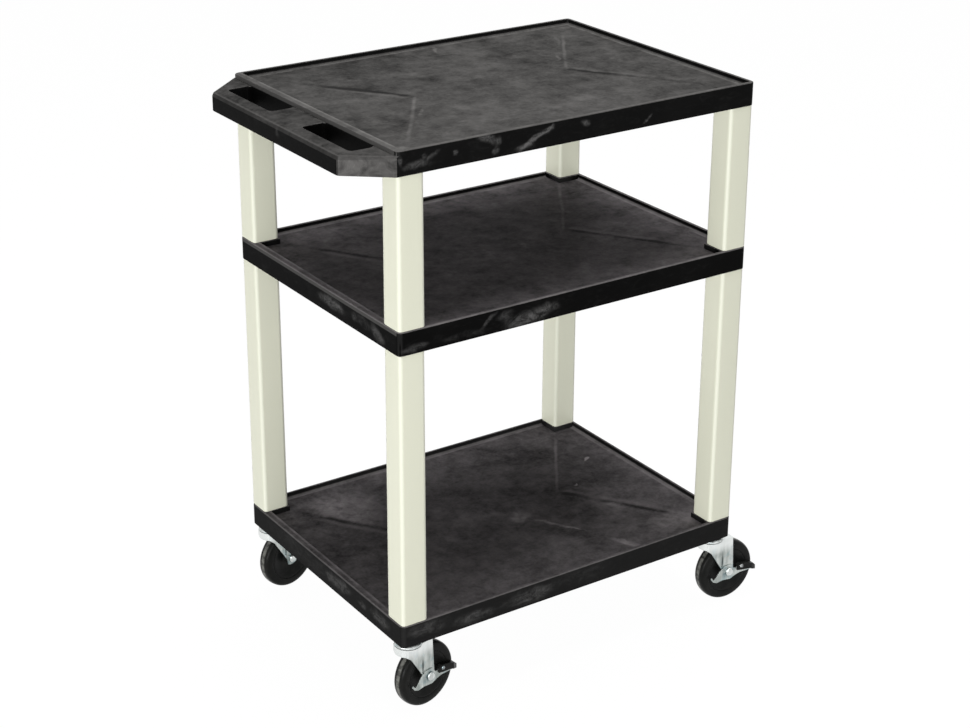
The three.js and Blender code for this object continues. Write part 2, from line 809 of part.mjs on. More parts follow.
// One caster, in a group that stands on its swivel axis with X along the trail.
function casterGroup({ name, x, y, heading, braked }) {
  const caster = new THREE.Group();
  caster.position.set(x * legCentreX, y * legCentreY, 0);
  caster.rotation.z = THREE.MathUtils.degToRad(heading);
  const clampFace = braked ? leverOuterFace + fitGap : legOuterFace;
  caster.add(
    meshOf("stem_socket_" + name, stemSocketSolid(), zincSteel),
    meshOf("caster_stem_" + name, stemSolid(), zincSteel),
    meshOf("raceway_cup_" + name, cupSolid(), zincSteel),
    meshOf("ball_race_" + name, ballRaceSolid(), zincSteel),
    meshOf("caster_fork_" + name, forkSolid(), zincSteel),
  );
  const axle = new THREE.Group();
  axle.position.set(trail, 0, wheelRadius);
  axle.add(
    meshOf("wheel_tyre_" + name, tyreSolid(), blackRubber),
    meshOf("wheel_hub_" + name, hubSolid(), blackPlastic),
    meshOf("axle_sleeve_" + name, sleeveSolid(), zincSteel),
    meshOf("axle_bolt_" + name, boltSolid(clampFace), zincSteel),
    meshOf("axle_nut_" + name, nutSolid(clampFace), zincSteel),
  );
  if (braked) {
    axle.add(
      meshOf("brake_lever_" + name, leverSolid(), zincSteel),
      meshOf("pedal_pad_" + name, padSolid(), blackPlastic),
      meshOf("pad_rivet_" + name, rivetSolid(), zincSteel),
    );
  }
  caster.add(axle);
  return caster;
}

// A mesh lifted to its level, over the middle of the cart or over one leg place.
function placed(mesh, level, corner = { x: 0, y: 0 }) {
  mesh.position.set(corner.x * legCentreX, corner.y * legCentreY, level);
  return mesh;
}

const assembly = new THREE.Group();
assembly.add(
  placed(meshOf("top_shelf", topShelfSolid(), blackPlastic), topShelfLevel),
  placed(meshOf("middle_shelf", middleShelfSolid(), blackPlastic), middleShelfLevel),
  placed(meshOf("bottom_shelf", bottomShelfSolid(), blackPlastic), bottomShelfLevel),
);
for (const corner of corners) {
  const upperLeg = meshOf("upper_leg_" + corner.name, legSolid(upperLegLength), ivoryPlastic);
  const lowerLeg = meshOf("lower_leg_" + corner.name, legSolid(lowerLegLength), ivoryPlastic);
  assembly.add(placed(upperLeg, upperLegLevel, corner));
  assembly.add(placed(lowerLeg, lowerLegLevel, corner));
  assembly.add(casterGroup(corner));
}

// The casters stand out unevenly, so the whole is moved to put its box's middle over the origin.
const middle = new THREE.Box3().setFromObject(assembly, true).getCenter(new THREE.Vector3());
assembly.position.set(-middle.x, -middle.y, 0);
const cart = new THREE.Group();
cart.add(assembly);

export default cart;
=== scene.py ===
import json
import math
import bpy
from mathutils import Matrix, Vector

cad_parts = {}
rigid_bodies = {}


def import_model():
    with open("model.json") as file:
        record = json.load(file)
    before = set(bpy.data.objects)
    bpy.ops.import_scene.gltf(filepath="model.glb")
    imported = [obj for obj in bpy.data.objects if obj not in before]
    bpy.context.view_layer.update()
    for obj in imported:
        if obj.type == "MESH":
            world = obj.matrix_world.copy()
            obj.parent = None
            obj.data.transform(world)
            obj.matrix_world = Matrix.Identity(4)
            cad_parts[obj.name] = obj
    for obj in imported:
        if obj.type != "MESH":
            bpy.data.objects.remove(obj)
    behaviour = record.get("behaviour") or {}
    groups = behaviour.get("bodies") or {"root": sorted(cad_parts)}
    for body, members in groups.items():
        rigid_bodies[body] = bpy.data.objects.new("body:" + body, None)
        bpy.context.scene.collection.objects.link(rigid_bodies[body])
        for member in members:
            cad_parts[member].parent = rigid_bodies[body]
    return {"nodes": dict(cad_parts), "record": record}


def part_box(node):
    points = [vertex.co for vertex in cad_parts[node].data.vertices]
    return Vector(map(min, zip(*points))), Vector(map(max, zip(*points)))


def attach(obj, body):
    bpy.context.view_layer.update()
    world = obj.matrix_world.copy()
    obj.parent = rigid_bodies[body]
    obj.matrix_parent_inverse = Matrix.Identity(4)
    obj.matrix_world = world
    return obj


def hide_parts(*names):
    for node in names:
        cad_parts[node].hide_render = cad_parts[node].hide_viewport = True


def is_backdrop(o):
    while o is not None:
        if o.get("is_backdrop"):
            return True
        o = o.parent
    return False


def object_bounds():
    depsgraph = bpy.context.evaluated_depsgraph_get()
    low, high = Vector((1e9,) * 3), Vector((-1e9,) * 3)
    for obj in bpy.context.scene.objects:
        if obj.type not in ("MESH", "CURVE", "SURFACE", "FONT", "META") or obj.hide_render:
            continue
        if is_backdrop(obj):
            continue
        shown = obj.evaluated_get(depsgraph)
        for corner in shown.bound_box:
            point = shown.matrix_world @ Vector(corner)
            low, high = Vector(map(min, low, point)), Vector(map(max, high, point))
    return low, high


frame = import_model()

from types import SimpleNamespace

import bmesh
import bpy
from mathutils import Vector

cad_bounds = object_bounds()
record = frame["record"]

# The photographer's camera. It looks down on the corner of the cart between the push handle's end
# and the long side with the foot brakes, and its lens is shifted a little.
shelf_low, shelf_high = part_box("bottom_shelf")
shelf_middle = (shelf_low + shelf_high) / 2
aim = Vector((shelf_middle.x + 0.0713, shelf_middle.y + 0.1934, 0.45))
camera_distance = 3.2226
camera_azimuth = math.radians(-33.367)
camera_elevation = math.radians(21.673)
away = Vector((
    math.sin(camera_azimuth) * math.cos(camera_elevation),
    -math.cos(camera_azimuth) * math.cos(camera_elevation),
    math.sin(camera_elevation),
))
camera = bpy.data.objects.new("camera", bpy.data.cameras.new("camera"))
camera.location = aim + camera_distance * away
camera.rotation_euler = (math.pi / 2 - camera_elevation, 0, camera_azimuth)
camera.data.sensor_width = 36
camera.data.lens = 73.4
camera.data.shift_x = 0.0254
camera.data.shift_y = -0.0763
bpy.context.scene.collection.objects.link(camera)
bpy.context.scene.camera = camera
bpy.context.scene.view_settings.view_transform = "Standard"


# The studio: a white floor and a white surround. A large soft lamp hangs overhead and a strong one
# stands far beyond the push handle, so the faces on that side are the brighter ones. Two weak
# lamps light the corner and the long side that the camera sees.
class Field:
    """A value, colour or vector over a surface. Arithmetic on it adds Math nodes."""

    def __init__(self, tree, socket=None):
        self.tree = tree
        self.socket = socket

    def node(self, kind, sockets, output=0, **settings):
        """Any other node: its settings first, then the values or links of its sockets."""
        made = self.tree.nodes.new(kind)
        for name, value in settings.items():
            setattr(made, name, value)
        for key, value in sockets.items():
            if isinstance(value, Field):
                self.tree.links.new(value.socket, made.inputs[key])
            else:
                made.inputs[key].default_value = value
        return Field(self.tree, made.outputs[output] if made.outputs else None)

    def worked(self, operation, first, second=0.0):
        """A Math node on two fields or numbers."""
        return self.node("ShaderNodeMath", {0: first, 1: second}, operation=operation)

    def __add__(self, other):
        return self.worked("ADD", self, other)

    def __mul__(self, other):
        return self.worked("MULTIPLY", self, other)

    def __sub__(self, other):
        return self.worked("SUBTRACT", self, other)

    def __rsub__(self, other):
        return self.worked("SUBTRACT", other, self)

    def __abs__(self):
        return self.worked("ABSOLUTE", self)

    __radd__ = __add__
    __rmul__ = __mul__

    def above(self, level, blur):
        """0 below a level and 1 above it, with a soft edge."""
        sockets = {0: self, 1: level - blur, 2: level + blur}
        return self.node("ShaderNodeMapRange", sockets, interpolation_type="SMOOTHSTEP")

    def part(self, axis):
        """One of a place's three numbers."""
        return self.node("ShaderNodeSeparateXYZ", {0: self}, output=axis)

    def drawn_out(self, x, y, z):
        """A place measured in its own unit along each axis."""
        sockets = {0: self, 1: (x, y, z)}
        return self.node("ShaderNodeVectorMath", sockets, operation="MULTIPLY")


def shown(field):
    """1 for what the camera, a mirror or a clear piece shows, and 0 for light on the cart."""
    seen = field.node("ShaderNodeLightPath", {}, output="Is Camera Ray")
    mirrored = field.node("ShaderNodeLightPath", {}, output="Is Glossy Ray")
    through = field.node("ShaderNodeLightPath", {}, output="Is Transmission Ray")
    return field.worked("MINIMUM", seen + mirrored + through, 1.0)


world = bpy.data.worlds.new("studio")
bpy.context.scene.world = world
world.use_nodes = True
world.node_tree.nodes.clear()
sky = Field(world.node_tree)
sky_light = 0.17
strength = sky_light + shown(sky) * (1 - sky_light)
glow = sky.node("ShaderNodeBackground", {"Color": (1, 1, 1, 1), "Strength": strength})
sky.node("ShaderNodeOutputWorld", {"Surface": glow})

floor_radius = 30
floor_mesh = bpy.data.meshes.new("floor")
floor_shape = bmesh.new()
bmesh.ops.create_circle(floor_shape, cap_ends=True, segments=64, radius=floor_radius)
floor_shape.to_mesh(floor_mesh)
floor_shape.free()
floor = bpy.data.objects.new("floor", floor_mesh)
bpy.context.scene.collection.objects.link(floor)
floor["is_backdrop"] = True
floor_paint = bpy.data.materials.new("floor_paint")
floor_paint.use_nodes = True
floor_paint.node_tree.nodes.clear()
ground = Field(floor_paint.node_tree)
# The matt share is what takes the cart's shadow.
matt_share = 0.05
matt = ground.node("ShaderNodeBsdfDiffuse", {"Color": (0.42, 0.42, 0.42, 1)})
white = ground.node("ShaderNodeEmission", {"Color": (1, 1, 1, 1), "Strength": 1.035})
mixed = ground.node("ShaderNodeMixShader", {0: shown(ground) * (1 - matt_share), 1: matt, 2: white})
ground.node("ShaderNodeOutputMaterial", {"Surface": mixed})
floor_mesh.materials.append(floor_paint)

# Each lamp's place, the side of its square in metres and its power in watts.
lamps = {
    "overhead_lamp": ((0.2, 0.1, 4.2), 2.6, 182),
    "handle_side_lamp": ((-7.2, -3.2, 1.3), 2.0, 345),
    "corner_lamp": ((-1.9, -3.1, 1.3), 1.5, 42),
    "long_side_lamp": ((2.5, -5.5, 1.3), 1.5, 18),
}
cart_middle = Vector((0, 0, 0.45))
for name, (place, side, power) in lamps.items():
    lamp = bpy.data.objects.new(name, bpy.data.lights.new(name, "AREA"))
    lamp.data.size = side
    lamp.data.energy = power
    lamp.location = place
    lamp.rotation_euler = (cart_middle - lamp.location).to_track_quat("-Z", "Y").to_euler()
    bpy.context.scene.collection.objects.link(lamp)

# Shelves: black structural foam mouldings. Their upward faces are grained and painted paler, partly
# their own grey and partly a painted sheen, and the bare skirts are near black, with whitish marbling
# where the plastic flowed in the mould.
mm = 0.001
half_length = (shelf_high.x - shelf_low.x) / 2
half_width = (shelf_high.y - shelf_low.y) / 2
shelf_height = 0.035
shelf_corner = 0.008
shelf_round = 0.002
rim_depth = 0.008
rim_wall = 0.005
rim_growth = 0.006
boss_side = 0.0442
stem_sleeve_drop = 0.004
# The ribs below a deck run from its long middle line, this far from the middle, to near its corners.
rib_start = 0.133
rib_end = (0.262, 0.186)
# The push handle on the top shelf, from the shelf's middle, its underside or its rim.
handle_reach = 0.0613
handle_height = 0.0286
handle_drop = shelf_height - handle_height
handle_root = (-0.3100, -0.3025)
grip_round = 0.0032
grip_growth = 1.2
slot_outer = 0.3455
slot_end = 0.1745
# Two places are taken as level, or as one place, when they are nearer than this.
level_gap = 0.0002
near_gap = 0.0001

# Faces that meet at less than the first angle are one flat face. At more than the second they
# meet in an edge that is rounded off, and at more than the third the shading breaks.
flat_turn = math.radians(0.8)
edge_turn = math.radians(35)
sharp_turn = math.radians(48)

body_of = {node: body for body, nodes in record["behaviour"]["bodies"].items() for node in nodes}


def stand_in(name, mesh, node, material):
    """A piece in a solid's place, on the same body and in the given finish."""
    piece = bpy.data.objects.new(name, mesh)
    bpy.context.scene.collection.objects.link(piece)
    mesh.materials.clear()
    mesh.materials.append(material)
    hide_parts(node)
    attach(piece, body_of[node])
    return piece


def eased(node, material, round_off, steps=2, softness=None, reshape=None):
    """A solid's own shape with its flat faces made whole and its edges rounded off.

    softness gives an edge's share of the round-off from the edge's middle, and reshape moves a
    corner of the solid."""
    shape = bmesh.new()
    shape.from_mesh(frame["nodes"][node].data)
    bmesh.ops.remove_doubles(shape, verts=shape.verts, dist=0.000001)
    bmesh.ops.dissolve_limit(
        shape, angle_limit=flat_turn, verts=shape.verts, edges=shape.edges)
    if reshape:
        for vertex in shape.verts:
            reshape(vertex.co)
    if softness:
        share = shape.edges.layers.float.new("bevel_weight_edge")
        for edge in shape.edges:
            if edge.is_manifold and edge.calc_face_angle() > edge_turn:
                first, second = (vertex.co for vertex in edge.verts)
                edge[share] = softness((first + second) / 2)
    mesh = bpy.data.meshes.new(node + "_eased")
    shape.to_mesh(mesh)
    shape.free()
    mesh.shade_smooth()
    mesh.set_sharp_from_angle(angle=edge_turn if softness else sharp_turn)
    piece = stand_in(node + "_eased", mesh, node, material)
    edges = piece.modifiers.new("rounded_edges", "BEVEL")
    edges.width = round_off
    edges.segments = steps
    edges.limit_method = "WEIGHT" if softness else "ANGLE"
    edges.angle_limit = edge_turn
    edges.use_clamp_overlap = not softness
    flats = piece.modifiers.new("flat_faces", "WEIGHTED_NORMAL")
    flats.keep_sharp = True
    return piece


def finish_of(name, colour, roughness, metallic=0.0, **constants):
    """A material, its surface shader and a field that stands for a place on the cart."""
    material = bpy.data.materials.new(name)
    material.use_nodes = True
    tree = material.node_tree
    shader = tree.nodes["Principled BSDF"]
    shader.inputs["Base Color"].default_value = (*colour, 1)
    shader.inputs["Roughness"].default_value = roughness
    shader.inputs["Metallic"].default_value = metallic
    for socket, value in constants.items():
        shader.inputs[socket.replace("_", " ")].default_value = value
    place = Field(tree).node("ShaderNodeTexCoord", {}, output="Object")
    return material, shader, place


def noise(place, scale, detail=3.0, roughness=0.5, distortion=0.0, output=0):
    sockets = {
        "Vector": place,
        "Scale": scale,
        "Detail": detail,
        "Roughness": roughness,
        "Distortion": distortion,
    }
    return place.node("ShaderNodeTexNoise", sockets, output)


def wired(shader, socket, field):
    field.tree.links.new(field.socket, shader.inputs[socket])


def bumped(height, strength, distance):
    sockets = {"Height": height, "Strength": strength, "Distance": distance}
    return height.node("ShaderNodeBump", sockets)


def colour_mix(share, first, second):
    """A colour between two, by a share. A colour is a field or three numbers."""
    sockets = {0: share, 6: first, 7: second}
    for key in (6, 7):
        if not isinstance(sockets[key], Field):
            sockets[key] = (*sockets[key], 1)
    return share.node("ShaderNodeMix", sockets, output=2, data_type="RGBA")


def grey(value, warmth=0.03):
    return (value * (1 + warmth), value, value * (1 - warmth))


def patch(place, middle, reach, turn=0.0, axis=2):
    """An oval mark: 1 in its middle and 0 at its edge. It may be turned about one axis."""
    rotation = [0.0, 0.0, 0.0]
    rotation[axis] = math.radians(turn)
    sockets = {"Vector": place, "Location": middle, "Rotation": rotation, "Scale": reach}
    oval = place.node("ShaderNodeMapping", sockets, vector_type="TEXTURE")
    from_middle = oval.node("ShaderNodeVectorMath", {0: oval}, output="Value", operation="LENGTH")
    return 1 - from_middle.above(0.62, 0.38)


def underside_of(shelf):
    """The height of the lower edge of a shelf's skirt. The bottom shelf's stem sleeves reach lower."""
    low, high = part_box(shelf)
    return low.z + stem_sleeve_drop if shelf == "bottom_shelf" else high.z - shelf_height


# Where the plastic flowed unevenly, each in mm: middle along and across, half sizes, turn in
# degrees, and how much paler or, below zero, darker it is.
deck_marks = {
    "top_shelf": (
        (-10, 20, 20, 11, 30, -0.10), (95, 20, 34, 17, 0, -0.07), (-112, 10, 11, 8, 0, -0.09),
        (-180, 11, 30, 9, 0, -0.05), (20, 12, 12, 6, 0, -0.07), (205, 10, 34, 8, 0, -0.06),
        (30, 204, 26, 5, 60, 0.34), (160, 60, 24, 4, 52, 0.30), (220, 140, 44, 5, 58, 0.16),
        (-168, -66, 22, 4, 57, 0.30), (-45, 48, 50, 30, 20, 0.05), (45, -30, 50, 36, 0, 0.05),
        (-70, -150, 90, 40, 0, 0.10), (110, -150, 120, 42, 0, 0.08), (2, -152, 16, 8, -35, 0.14),
        (-283, -58, 13, 20, 0, 0.24), (-276, -196, 13, 13, 0, 0.30), (284, 205, 14, 11, 0, 0.22),
    ),
    "middle_shelf": (
        (-175, 120, 90, 100, 0, 0.24), (60, 185, 80, 34, 0, 0.10), (98, 152, 34, 22, 0, 0.16),
        (205, -45, 74, 66, 30, 0.22), (120, 70, 44, 38, 0, -0.09), (60, -120, 66, 26, 50, -0.09),
        (100, -10, 60, 22, 55, -0.08), (-25, -28, 34, 11, 40, 0.16), (46, -26, 26, 8, 50, 0.16),
        (-110, -140, 34, 24, 0, 0.12), (-30, 130, 60, 40, 0, 0.05),
    ),
    "bottom_shelf": (
        (-185, 128, 80, 92, 0, 0.60), (36, -34, 26, 26, 0, 0.52), (2, -8, 22, 14, -40, 0.20),
        (72, -92, 56, 6, -58, 0.60), (126, -196, 40, 9, -60, 0.50), (205, -62, 80, 78, 30, 0.14),
        (188, -86, 12, 26, 0, 0.30), (60, 70, 100, 60, 0, -0.06), (-40, 25, 66, 26, -30, 0.08),
        (244, 70, 10, 5, 50, 1.60), (172, 9, 7, 4, 50, 1.30), (235, -175, 80, 36, 0, 0.22),
    ),
}
# The same on the skirt of the long side that has the foot brakes: middle along, height above the
# underside, half sizes, turn, and how pale it is.
long_side_marks = {
    "top_shelf": (
        (-84, 14, 40, 6, -24, 1.3), (-100, 7, 22, 6, 0, 0.7), (-60, 25, 14, 3, -32, 0.9),
        (-152, 11, 9, 8, 20, 0.9), (-166, 30, 20, 7, 24, 0.9), (-150, 24, 7, 9, 0, 0.6),
        (-4, 24, 9, 7, 30, 0.7), (106, 13, 11, 3, -38, 0.9), (-213, 20, 5, 5, 0, 0.9),
        (-246, 20, 15, 4, -45, 0.6), (-272, 11, 30, 8, 0, 0.6), (-298, 22, 5, 10, 0, 0.6),
        (-258, 20, 9, 6, 0, 0.4),
    ),
    "middle_shelf": (
        (-90, 11, 58, 15, -8, 0.9), (-56, 17, 20, 12, 0, 0.5), (-160, 22, 18, 5, -50, 0.6),
        (-132, 22, 18, 11, 0, 0.5), (-278, 8, 28, 7, 0, 0.5), (-200, 8, 60, 7, 0, 0.2),
    ),
    "bottom_shelf": (
        (-84, 12, 56, 17, 0, 0.7), (-180, 10, 50, 13, 0, 0.6), (-262, 18, 48, 15, 0, 0.4),
        (10, 20, 80, 20, 0, 0.12),
    ),
}
# And on the skirt or grip on the handle's side: middle across, height, half sizes, turn, shade.
short_side_marks = {
    "top_shelf": (
        (18, 25, 26, 4, -12, 0.5), (-18, 20, 6, 12, 0, 0.3),
    ),
    "middle_shelf": (
        (-46, 17, 46, 13, 0, 1.0), (-112, 17, 12, 9, 0, 0.5), (-172, 14, 24, 13, 30, 0.6),
        (-135, 20, 30, 14, 0, 0.2),
    ),
    "bottom_shelf": (
        (-48, 16, 50, 14, 0, 0.7), (-118, 14, 16, 10, 0, 0.5), (-168, 14, 36, 13, 0, 0.5),
        (60, 16, 150, 18, 0, 0.12),
    ),
}
mark_depth = 0.03


def shelf_fields(place, underside):
    """What a shelf's colours are worked out from: places, facings and the moulding's grain."""
    at = SimpleNamespace(place=place, underside=underside)
    at.x = place.part("X") - shelf_middle.x
    at.y = place.part("Y") - shelf_middle.y
    at.height = place.part("Z") - underside
    at.along = abs(at.x)
    at.across = abs(at.y)
    at.facing = place.node("ShaderNodeNewGeometry", {}, output="Normal")
    lie = at.facing.part("Z")
    at.upward = lie.above(0.36, 0.26)
    # Painted highlight: the rounded edges of upward faces are painted paler.
    at.turning = at.upward * (1 - lie.above(0.955, 0.03))
    # A place shifted a little each way, which frays the outlines of the marks.
    drift = noise(place, 30.0, output="Color")
    sockets = {0: drift, 1: (0.5, 0.5, 0.5)}
    drift = place.node("ShaderNodeVectorMath", sockets, operation="SUBTRACT")
    sockets = {0: drift, 1: (0.03, 0.03, 0.016), 2: place}
    at.frayed = place.node("ShaderNodeVectorMath", sockets, operation="MULTIPLY_ADD")
    at.clouds = noise(place.drawn_out(1.0, 1.15, 1.0), 11.0, 4.0, 0.5, 0.3) - 0.5
    at.blotches = noise(place, 30.0, 3.0, 0.5, 0.3) - 0.5
    at.leather = noise(place, 80.0, 4.0, 0.55, 0.3) - 0.5
    at.pebbles = noise(place, 210.0, 3.0, 0.6) - 0.5
    at.flow = noise(place.drawn_out(0.7, 0.7, 1.6), 55.0, 7.0, 0.7, 1.4)
    at.wisps = noise(place.drawn_out(1.0, 1.0, 0.7), 120.0, 5.0, 0.7, 2.0)
    at.grain = noise(place, 620.0, 3.0, 0.6)
    return at


def deck_colour(shelf, at, deck_grey):
    """A shelf's upward faces: mottled and scuffed, with the ribs below showing through as painted shade
    and highlights, and painted highlights round the rim.
    """
    tone = at.clouds * 0.5 + at.blotches * 0.5 + at.leather * 0.4 + at.pebbles * 0.3 + 0.25

    # The ribs of one diagonal show as dark creases, a painted shade, with a painted highlight beside
    # them, and those of the other diagonal as pale lines, a painted highlight.
    run = Vector((rib_end[0] - rib_start, rib_end[1])).normalized()
    beside_rib = at.across * run.x - (at.along - rib_start) * run.y
    bend = noise(at.place, 14.0) * 0.008 - 0.004
    off_line = beside_rib + bend
    in_rib = at.along.above(rib_start + 0.006, 0.012) * (1 - at.along.above(rib_end[0] - 0.02, 0.03))
    in_rib = in_rib * (0.45 + noise(at.place, 17.0, 2.0).above(0.47, 0.12))
    pale_pair = (at.x * at.y).above(0.0, 0.0002)
    crease_shade = (1 - abs(off_line).above(0.0042, 0.004)) * in_rib
    rib_edge_highlight = (1 - abs(off_line + 0.011).above(0.004, 0.004)) * in_rib
    pale_line_highlight = (1 - abs(off_line).above(0.0022, 0.002)) * in_rib
    tone = tone - crease_shade * (1 - pale_pair) * 0.22 + rib_edge_highlight * (1 - pale_pair) * 0.13
    tone = tone + pale_line_highlight * pale_pair * 0.22

    # A painted highlight runs round the foot of the rim, where the cove catches the light, and the rim's
    # top is painted paler than the deck, a painted highlight that is stronger on the top shelf.
    foot_highlight_inset = 0.0095
    from_edge = at.along.worked("MINIMUM", half_length - at.along, half_width - at.across)
    foot = 1 - abs(from_edge - foot_highlight_inset + bend * 0.2).above(0.0022, 0.002)
    foot = foot * noise(at.place, 22.0).above(0.38, 0.16)
    on_rim = at.height.above(shelf_height - 0.002, 0.001)
    tone = tone + foot * 0.32 + on_rim * (0.17 if shelf == "top_shelf" else 0.07)

    # The large pale corners near the handle end at a rib.
    large = 60
    near_handle = -150
    beyond_rib = beside_rib.above(0.0, 0.01)
    deck_height = at.underside + shelf_height - rim_depth
    for middle_x, middle_y, half_x, half_y, turn, shade in deck_marks[shelf]:
        middle = (shelf_middle.x + middle_x * mm, shelf_middle.y + middle_y * mm, deck_height)
        mark = patch(at.frayed, middle, (half_x * mm, half_y * mm, 1.0), turn)
        if half_x > large and middle_x < near_handle:
            mark = mark * beyond_rib
        tone = tone + mark * (shade * (0.8 + at.leather * 1.6))
    tone = tone - (1 - at.x.above(-half_length, 0.001)) * 0.06
    tone = tone + (1 - at.y.above(-0.12, 0.14)) * 0.05 - at.y.above(0.12, 0.12) * 0.03

    tint = (1.03, 1.0, 0.97) if shelf == "top_shelf" else (1.05, 0.97, 1.0)
    dark, pale = ([shade * deck_grey * times for shade in tint] for times in (0.25, 3.2))
    # The rounded edges get their painted highlight here.
    return colour_mix(at.turning * 0.4, colour_mix(tone, dark, pale), grey(deck_grey * 2.0))


def skirt_marks(at, rows, middle, axis):
    """The pale marks on a skirt that runs along one axis."""
    marks = 0.0
    for step, height, half_run, half_height, turn, shade in rows:
        place = middle.copy()
        place[axis] += step * mm
        place.z += height * mm
        reach = Vector((mark_depth, mark_depth, half_height * mm))
        reach[axis] = half_run * mm
        marks = marks + patch(at.frayed, place, reach, turn, 1 - axis) * shade
    return marks


def skirt_colour(shelf, at, skirt_grey):
    """The upright faces: bare black plastic with whitish flow marks, painted darker where they face the
    handle's side, and with a painted highlight at the rounded corners.
    """
    long_side = Vector((shelf_middle.x, shelf_middle.y - half_width, at.underside))
    short_side = Vector((shelf_middle.x - half_length, shelf_middle.y, at.underside))
    if shelf == "top_shelf":
        short_side.x -= handle_reach
    marks = skirt_marks(at, long_side_marks[shelf], long_side, 0)
    marks = marks + skirt_marks(at, short_side_marks[shelf], short_side, 1)
    marks = marks * (at.flow.above(0.52, 0.2) * 0.7 + at.wisps.above(0.54, 0.2) * 0.35)
    marks = marks + (at.flow.above(0.62, 0.14) * 0.05 + at.clouds * 0.05)
    # Painted shade: the skirts that face the handle's side are painted darker.
    handle_side = (at.facing.part("X") * -1.0).above(0.85, 0.1)
    bare = colour_mix(handle_side, grey(skirt_grey, 0.01), grey(skirt_grey * 0.6, 0.01))
    # The strip of the shelf's end wall that stands above the handle is painted lighter, a painted light
    # where that side is lit.
    end_wall = at.x.above(-0.0004 - half_length, 0.0002) * (1 - at.x.above(0.0002 - half_length, 0.0002))
    bare = colour_mix(end_wall * at.height.above(handle_height, 0.0006), bare, grey(0.06))
    skirt = colour_mix(marks, bare, (0.125, 0.123, 0.122))
    # Painted highlight: the rounded upright corners are painted paler.
    corner = (abs(at.facing.part("X")) * abs(at.facing.part("Y"))).above(0.26, 0.14)
    corner_highlight = grey(0.024, 0.01)
    if shelf != "top_shelf":
        return colour_mix(corner * 0.5, skirt, corner_highlight)

    # The walls of the hand slots lie in the dark.
    in_slot = at.x.above(-slot_outer, 0.0005) * (1 - at.x.above(0.0002 - half_length, 0.0002))
    in_slot = in_slot * (1 - at.across.above(slot_end, 0.0005))
    in_slot = in_slot * (1 - at.height.above(handle_height - 0.001, 0.0008))
    skirt = colour_mix(corner * (1 - in_slot) * 0.5, skirt, corner_highlight)
    # The slanted ends of the handle are painted paler, partly a painted sheen, and marbled all over.
    flat = at.place.node("ShaderNodeNewGeometry", {}, output="True Normal")
    slanted = (abs(flat.part("X")) * abs(flat.part("Y"))).above(0.40, 0.06)
    slanted = slanted * (1 - at.x.above(0.0013 - half_length, 0.0006))
    veins = noise(at.place.drawn_out(1.0, 1.0, 1.3), 46.0, 4.0, 0.55, 1.2)
    marbled = veins.above(0.5, 0.2) * 0.55 + at.wisps.above(0.6, 0.12) * 0.25 + at.clouds * 0.8 + 0.18
    skirt = colour_mix(slanted, skirt, colour_mix(marbled, grey(0.035), grey(0.15)))
    return colour_mix(in_slot, skirt, grey(0.0025))


def shelf_finish(shelf, deck_grey, skirt_grey):
    """One shelf's plastic, with its own marks."""
    material, shader, place = finish_of(shelf + "_plastic", grey(0.006), 0.5, IOR=1.07)
    at = shelf_fields(place, underside_of(shelf))
    skirt = skirt_colour(shelf, at, skirt_grey)
    deck = deck_colour(shelf, at, deck_grey)
    # Upward faces take the deck's colour, which is partly a painted sheen.
    wired(shader, "Base Color", colour_mix(at.upward, skirt, deck))
    wired(shader, "Roughness", 0.44 + at.upward * 0.12 + at.grain * 0.08)
    height = at.grain * 0.3 + at.leather * 0.9 + at.flow * 0.25
    wired(shader, "Normal", bumped(height, 0.35, 0.0006))
    return material


def inside_outline(place):
    """How far inside a shelf's rounded outline a place lies."""
    past_x = abs(place.x - shelf_middle.x) - (half_length - shelf_corner)
    past_y = abs(place.y - shelf_middle.y) - (half_width - shelf_corner)
    beyond = math.hypot(max(past_x, 0.0), max(past_y, 0.0)) + min(max(past_x, past_y), 0.0)
    return shelf_corner - beyond


def shelf_softness(shelf):
    """Outer rims and the hand slots are more rounded than the shelves' other edges."""
    outer_rim = 0.9
    inner_rim = 0.35
    rim_by_handle = 0.3
    handle_edge = 0.6
    skirt_edge = 0.3
    sharp = 0.0
    rim_top = underside_of(shelf) + shelf_height
    end_wall = -0.304
    handle_start = -0.3095
    handle_edges = rim_top - handle_drop - 0.0011

    def softness(middle):
        from_middle = middle.x - shelf_middle.x
        inside = inside_outline(middle)
        if middle.z > rim_top - level_gap:
            if from_middle < end_wall:
                return rim_by_handle
            return outer_rim if inside < 0.002 else inner_rim
        # The root of the handle stays sharp, because its edges lie too close together there.
        if handle_root[0] < from_middle < handle_root[1]:
            return sharp
        if from_middle < handle_start and middle.z > handle_edges:
            return handle_edge
        return skirt_edge if inside < 0.001 else sharp

    return softness


